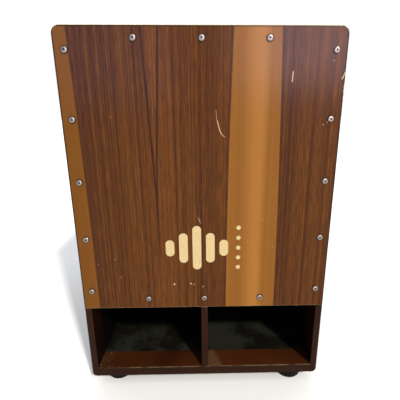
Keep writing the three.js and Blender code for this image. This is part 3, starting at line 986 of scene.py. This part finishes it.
def printed_mark():
    """Five upright bars, like a sound-level meter, and a column of dots beside them."""
    middle_z = plate_low.z + MARK_FOOT + max(MARK_HEIGHTS) / 2
    pills = []
    for k, height in enumerate(MARK_HEIGHTS):
        x = MARK_CENTRE_X + (k - 2) * MARK_STEP
        pills.append(printed_pill(f"bar_{k}", x, middle_z, MARK_BAR, height))
    for k in range(5):
        z = middle_z + (k - 2) * (max(MARK_HEIGHTS) - DOT_SIZE) / 4
        pills.append(printed_pill(f"dot_{k}", DOT_COLUMN_X, z, DOT_SIZE, DOT_SIZE))
    return finished(joined("printed_mark", pills), [ink])


# ----------------------------------------
# Feet
# ----------------------------------------


def foot_outline(top, floor_radius, top_radius, recess, recess_top, hole):
    """The rubber foot's closed outline, with a rounded tread, a moulding line and a sunk rim."""
    edge = 3 * MM
    outline = [(hole, recess_top), (recess - 0.6 * MM, recess_top), (recess, recess_top - 0.6 * MM)]
    outline += [(recess, 0.5 * MM), (recess + 0.5 * MM, 0)]
    for k in range(7):
        angle = -math.pi / 2 + math.pi / 2 * k / 6
        outline.append((floor_radius - edge + edge * math.cos(angle), edge + edge * math.sin(angle)))
    slope = (top_radius - floor_radius) / (top - edge)
    for height, stand in ((0.55 * top, 0), (0.57 * top, 0.25 * MM), (0.61 * top, 0.25 * MM), (0.63 * top, 0)):
        outline.append((floor_radius + slope * (height - edge) + stand, height))
    outline += [(top_radius, top - 0.8 * MM), (top_radius - 0.8 * MM, top), (hole, top)]
    return outline


def feet():
    low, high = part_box("foot_front_left")
    washer_low, washer_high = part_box("foot_washer_front_left")
    screw_low, screw_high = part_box("foot_screw_front_left")
    hole = 2.55 * MM
    top_radius = (high.x - low.x) / 2
    outline = foot_outline(high.z, top_radius - 1.5 * MM, top_radius, 9 * MM, washer_high.z, hole)
    foot_pattern = turned("foot_pattern", outline, 64, closed=True)
    washer_radius = (washer_high.x - washer_low.x) / 2
    rim = 0.2 * MM
    washer_outline = [
        (hole, washer_low.z),
        (washer_radius - rim, washer_low.z),
        (washer_radius, washer_low.z + rim),
        (washer_radius, washer_high.z - rim),
        (washer_radius - rim, washer_high.z),
        (hole, washer_high.z),
    ]
    washer_pattern = turned("washer_pattern", washer_outline, 40, closed=True)
    head = 2.6 * MM
    seat = screw_low.z + head
    screw_radius = (screw_high.x - screw_low.x) / 2
    screw_pattern = pan_screw("foot_screw_pattern", screw_radius, head, 2.25 * MM, screw_high.z - seat, 9)
    sunk = recess_faces(screw_pattern, screw_radius, head)
    for index, place in enumerate(("front_left", "front_right", "rear_left", "rear_right")):
        middle = middle_of("foot_" + place)
        spot = (middle.x, middle.y, 0)
        foot = moved(copy_of(foot_pattern, f"foot_{place}_rubber"), spot)
        finished(foot, [rubber], ["foot_" + place])
        washer = moved(copy_of(washer_pattern, f"foot_washer_{place}_zinc"), spot)
        finished(washer, [zinc], ["foot_washer_" + place])
        screw = copy_of(screw_pattern, f"foot_screw_{place}_zinc")
        moved(screw, (0, 0, 0), (math.pi, 0, math.radians(50 * index)))
        moved(screw, (middle.x, middle.y, seat))
        # The faces inside the cross recess get the painted-shade metal.
        metals = [zinc, recess_shade_metal]
        stands_for = ["foot_screw_" + place]
        finished(screw, metals, stands_for, crease=40, choose=lambda face: face.index in sunk)
    for pattern in (foot_pattern, washer_pattern, screw_pattern):
        bpy.data.objects.remove(pattern)


# ----------------------------------------
# Snares
# ----------------------------------------

STRANDS = 8
STRAND_STEP = 3 * MM
COIL_RADIUS = 0.8 * MM
WIRE_RADIUS = 0.2 * MM
COIL_PITCH = 1.25 * MM
END_BAR = 4 * MM
CLIP_HEIGHT = 12 * MM
CLIP_THICKNESS = 1 * MM
CLIP_GAP = 0.1 * MM  # between the clip and the rail


def coil(length):
    """One coiled strand along +Z."""
    deselect_all()
    bpy.ops.mesh.primitive_circle_add(
        vertices=5, radius=WIRE_RADIUS, location=(COIL_RADIUS, 0, 0), rotation=(math.pi / 2, 0, 0)
    )
    strand = settle(named("strand"))
    turns = round(length / COIL_PITCH)
    wind = strand.modifiers.new("wind", "SCREW")
    wind.angle = math.tau
    wind.screw_offset = length / turns
    wind.iterations = turns
    wind.steps = 9
    wind.render_steps = 9
    wind.use_merge_vertices = True
    apply_modifiers(strand)
    outward(strand)
    select_only(strand)
    bpy.ops.object.mode_set(mode="EDIT")
    bpy.ops.mesh.select_mode(type="EDGE")
    bpy.ops.mesh.select_all(action="DESELECT")
    bpy.ops.mesh.select_non_manifold()
    bpy.ops.mesh.fill_holes(sides=0)
    bpy.ops.mesh.select_all(action="SELECT")
    bpy.ops.mesh.normals_make_consistent(inside=False)
    bpy.ops.object.mode_set(mode="OBJECT")
    return strand


def snare_set(node, strand_pattern):
    low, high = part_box(node)
    rail_low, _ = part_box("snare_rail")
    middle = (low.x + high.x) / 2
    clip_back = rail_low.y - CLIP_GAP
    clip_low = (low.x, clip_back - CLIP_THICKNESS, low.z)
    clip_high = (high.x, clip_back, low.z + CLIP_HEIGHT)
    clip = block("clip", clip_low, clip_high)
    bevel_edges(clip, 0.25 * MM, 2, lambda p: True)
    reach = (STRANDS - 1) * STRAND_STEP / 2 + 2.5 * MM
    bar_low = (middle - reach, low.y, high.z - END_BAR)
    bar = block("end_bar", bar_low, (middle + reach, low.y + 1.6 * MM, high.z))
    bevel_edges(bar, 0.4 * MM, 3, lambda p: True)
    foot = Vector((middle, clip_low[1], clip_high[2] - 2 * MM))
    tip = Vector((middle, low.y + COIL_RADIUS, high.z - END_BAR + 1 * MM))
    lean = math.atan2(foot.y - tip.y, tip.z - foot.z)
    parts = [clip, bar]
    for k in range(STRANDS):
        shift = Vector(((k - (STRANDS - 1) / 2) * STRAND_STEP, 0, 0))
        strand = copy_of(strand_pattern, f"strand_{k}")
        parts.append(moved(strand, foot + shift, (lean, 0, 0)))
        solder_spot = foot + shift - Vector((0, 0.1 * MM, 1 * MM))
        bpy.ops.object.select_all(action="DESELECT")
        bpy.ops.mesh.primitive_uv_sphere_add(segments=10, ring_count=6, radius=1.1 * MM, location=solder_spot)
        blob = named(f"solder_{k}")
        blob.scale = (1, 0.6, 1.5)
        parts.append(settle(blob))
    return finished(joined(node + "_coils", parts), [spring_steel], [node], crease=50)


def snares():
    low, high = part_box("snare_wires_left")
    into_ends = 3 * MM
    strand_length = high.z - low.z - CLIP_HEIGHT - END_BAR + into_ends
    strand_pattern = coil(strand_length)
    for node in ("snare_wires_left", "snare_wires_right"):
        snare_set(node, strand_pattern)
    bpy.data.objects.remove(strand_pattern)


# ----------------------------------------
# CAD nodes that keep their shape
# ----------------------------------------


def carried_over():
    spruce = [
        bare_wood(f"spruce_along_{axis}", srgb(176, 134, 84), srgb(214, 178, 124), index)
        for index, axis in enumerate("xyz")
    ]
    beech = bare_wood("beech_along_x", srgb(150, 104, 66), srgb(186, 140, 96), 0)
    for name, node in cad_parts.items():
        if "_batten_" in name:
            upright = name.endswith(("_left", "_right"))
            node.data.materials[0] = spruce[2 if upright else 0]
        elif name == "snare_rail":
            node.data.materials[0] = beech
        elif name.startswith("snare_screw_"):
            node.data.materials[0] = zinc


# ----------------------------------------
# Stage, light and camera
# ----------------------------------------


TENT_FRONT = 0.25
TENT_BACK = 1.15
TENT_TOP = 0.5
KEY_POWER = 2.95
KEY_FROM = (1.35, -2.2, 2.4)
KEY_WIDTH = math.radians(4)
FLOOR_SIZE = 24


def floor():
    deselect_all()
    bpy.ops.mesh.primitive_plane_add(size=FLOOR_SIZE, location=(0, 0, 0))
    sheet = named("floor")
    sheet.data.materials.append(studio_floor())


def holder_for(name, data, place, direction, roll=0.0):
    """Puts a light or the camera at a place, looking in a direction."""
    holder = bpy.data.objects.new(name, data)
    bpy.context.scene.collection.objects.link(holder)
    holder.location = place
    holder.rotation_mode = "QUATERNION"
    holder.rotation_quaternion = Vector(direction).to_track_quat("-Z", "Y") @ Quaternion((0, 0, 1), roll)
    return holder


def sheen_light(name, place, target, size, power, colour):
    """A window that is seen in the lacquer, and adds nothing to the light on the wood."""
    lamp = bpy.data.lights.new(name, "AREA")
    lamp.shape = "RECTANGLE"
    lamp.size, lamp.size_y = size
    lamp.energy = power
    lamp.color = colour
    holder = holder_for(name, lamp, place, Vector(target) - Vector(place))
    holder.visible_diffuse = False


def studio():
    """White all round, as in a light tent that is brighter behind the drum than in front of it."""
    world = bpy.data.worlds.new("studio")
    bpy.context.scene.world = world
    world.use_nodes = True
    nodes, links = world.node_tree.nodes, world.node_tree.links
    backdrop = nodes["Background"]
    backdrop.inputs["Color"].default_value = (1, 1, 1, 1)
    direction = nodes.new("ShaderNodeTexCoord")
    split = nodes.new("ShaderNodeSeparateXYZ")
    total = nodes.new("ShaderNodeMath")
    tent = nodes.new("ShaderNodeBackground")
    tent.inputs["Color"].default_value = (0.95, 0.97, 1.0, 1)
    ray = nodes.new("ShaderNodeLightPath")
    choice = nodes.new("ShaderNodeMixShader")
    links.new(direction.outputs["Generated"], split.inputs[0])
    for term, axis, numbers in (
        (0, "Y", (-0.3, 0.6, TENT_FRONT, TENT_BACK)),
        (1, "Z", (0.55, 0.9, 0.0, TENT_TOP)),
    ):
        level = nodes.new("ShaderNodeMapRange")
        for socket, value in zip(level.inputs[1:5], numbers):
            socket.default_value = value
        links.new(split.outputs[axis], level.inputs["Value"])
        links.new(level.outputs[0], total.inputs[term])
    links.new(total.outputs[0], tent.inputs["Strength"])
    links.new(ray.outputs["Is Camera Ray"], choice.inputs[0])
    links.new(tent.outputs[0], choice.inputs[1])
    links.new(backdrop.outputs[0], choice.inputs[2])
    links.new(choice.outputs[0], nodes["World Output"].inputs["Surface"])

    key = bpy.data.lights.new("key", "SUN")
    key.energy = KEY_POWER
    key.angle = KEY_WIDTH
    key.color = (1.0, 0.95, 0.87)
    holder_for("key", key, (0, 0, 0), -Vector(KEY_FROM))
    sheen_light("window", (0.88, -2.5, 0.95), (0.1, 0, 0.49), (1.15, 0.75), 50, (0.77, 0.62, 0.8))
    sheen_light("sky", (-0.85, -2.5, 0.85), (-0.1, 0, 0.45), (1.3, 0.8), 13, (0.35, 0.55, 1.0))


# The camera's place is taken from the plate's face and the underside of the box.
EYE_BEFORE_PLATE = 387.2 * MM
EYE_ABOVE_BASE = 402.0 * MM
EYE_RIGHT = 4.4 * MM
LOOK = Vector((0.0196, 0.9674, -0.2524))
ROLL = -0.0026
LENS = 27.549
SIDE_SHIFT = -0.0314
RISE_SHIFT = -0.0336


def camera():
    eye = bpy.data.cameras.new("camera")
    eye.lens = LENS
    eye.shift_x = SIDE_SHIFT
    eye.shift_y = RISE_SHIFT
    eye.clip_start = 0.01
    place = (EYE_RIGHT, plate_low.y - EYE_BEFORE_PLATE, body_foot + EYE_ABOVE_BASE)
    bpy.context.scene.camera = holder_for("camera", eye, place, LOOK, ROLL)


bpy.context.scene.view_settings.view_transform = "Standard"
box_boards()
front_plate()
plate_screws()
printed_mark()
feet()
snares()
carried_over()
floor()
studio()
camera()
deselect_all()
